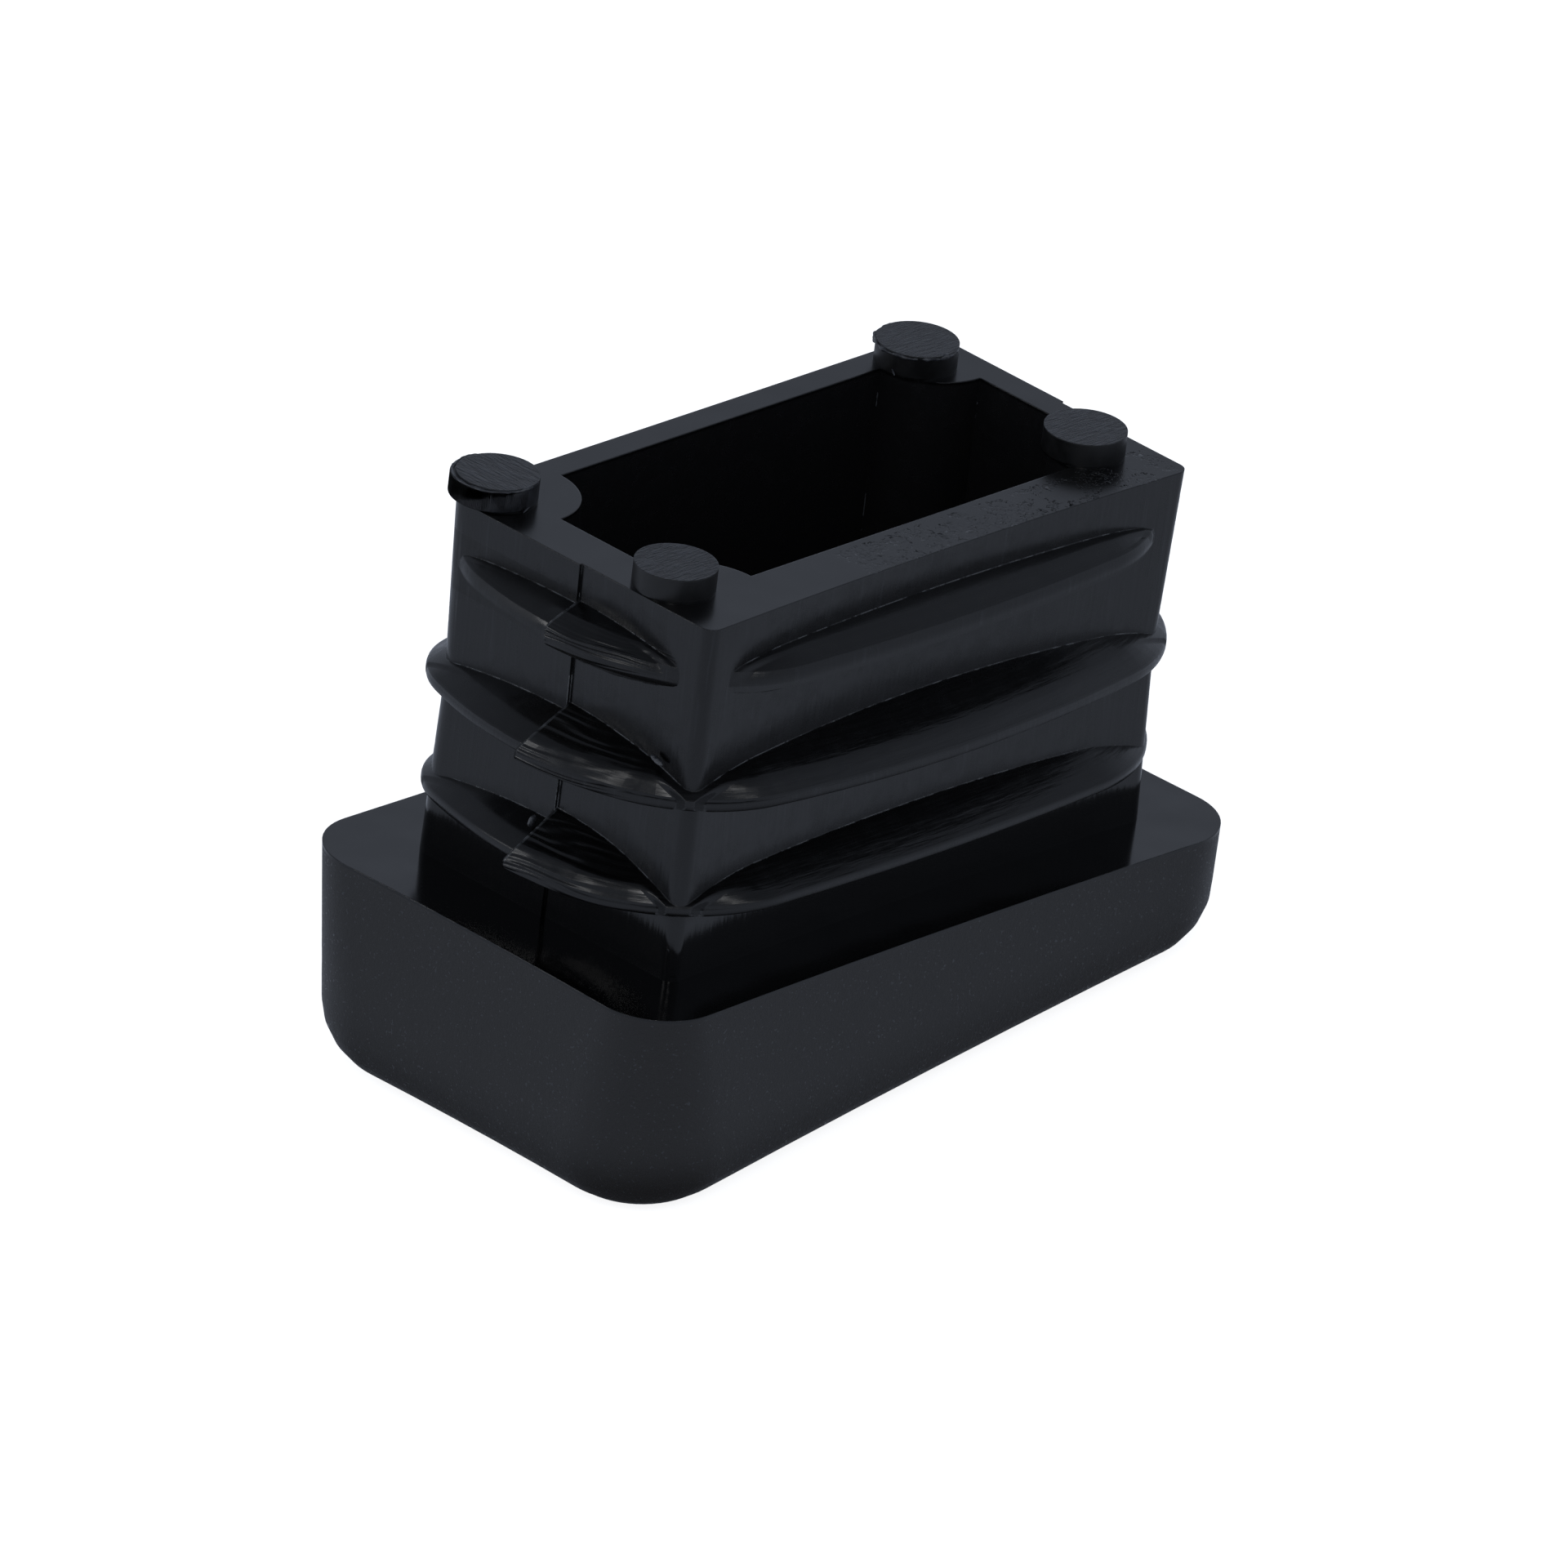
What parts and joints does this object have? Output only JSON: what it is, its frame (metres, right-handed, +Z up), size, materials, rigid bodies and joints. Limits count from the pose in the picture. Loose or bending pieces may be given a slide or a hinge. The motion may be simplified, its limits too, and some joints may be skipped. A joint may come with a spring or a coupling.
{
  "type": "tube end cap",
  "caption": "Black plastic end cap for a 50 x 30 mm rectangular tube, with a hollow ribbed plug and a slanted foot.",
  "frame": {"origin": "bottom centre of the bounding box, on the sole", "axes": "+X towards the thin end of the foot, +Y across the foot, +Z up, normal to the sole"},
  "size_m": [0.0512, 0.0306, 0.0379],
  "materials": {
    "cap_plastic": "satin, glossy on seat and rim"
  },
  "bodies": {
    "root": {"end_cap": "cap_plastic"}
  },
  "joints": []
}
